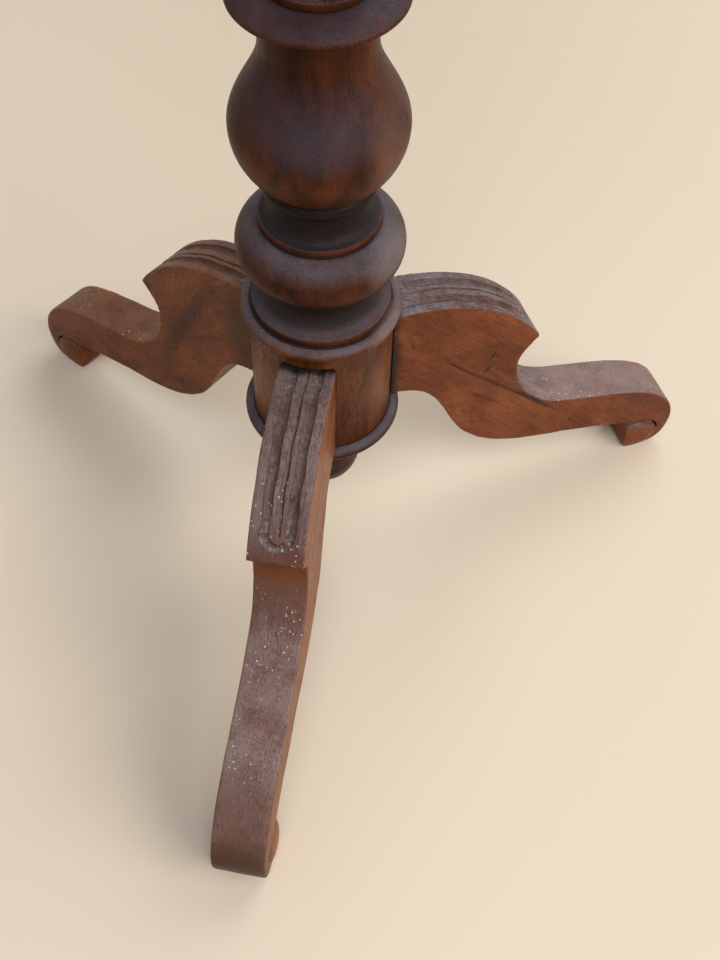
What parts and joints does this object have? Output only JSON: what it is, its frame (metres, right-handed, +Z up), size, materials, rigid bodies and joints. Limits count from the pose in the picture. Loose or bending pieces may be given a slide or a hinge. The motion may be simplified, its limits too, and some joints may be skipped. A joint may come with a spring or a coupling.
{
  "type": "plant stand",
  "caption": "Turned wooden pedestal plant stand: round top on a baluster column with a vase and rings, on sawn scroll-foot tripod legs dovetailed into a hub.",
  "frame": {"origin": "on the floor, under the axis of the turned column", "axes": "+Z up along the column's axis; -Y towards the front leg; +X to the right of that leg seen from the front"},
  "size_m": [0.4538, 0.4538, 0.7405],
  "materials": {
    "column_wood": "dark stained and waxed, worn",
    "leg_wood": "stained and waxed, worn on the edges",
    "top_wood": "stained and waxed",
    "screw_steel": "dull, aged"
  },
  "bodies": {
    "root": {"top_board_left": "top_wood", "top_board_centre": "top_wood", "top_board_right": "top_wood", "top_block": "top_wood", "top_block_screw_1": "screw_steel", "top_block_screw_2": "screw_steel", "top_block_screw_3": "screw_steel", "top_block_screw_4": "screw_steel", "tenon_wedge": "top_wood", "upper_shaft": "column_wood", "vase": "column_wood", "ring_turning": "column_wood", "hub": "column_wood", "base_ring": "column_wood", "base_ring_screw_1": "screw_steel", "base_ring_screw_2": "screw_steel", "base_ring_screw_3": "screw_steel", "drop_finial": "column_wood", "leg_front": "leg_wood", "leg_right": "leg_wood", "leg_left": "leg_wood"}
  },
  "joints": []
}
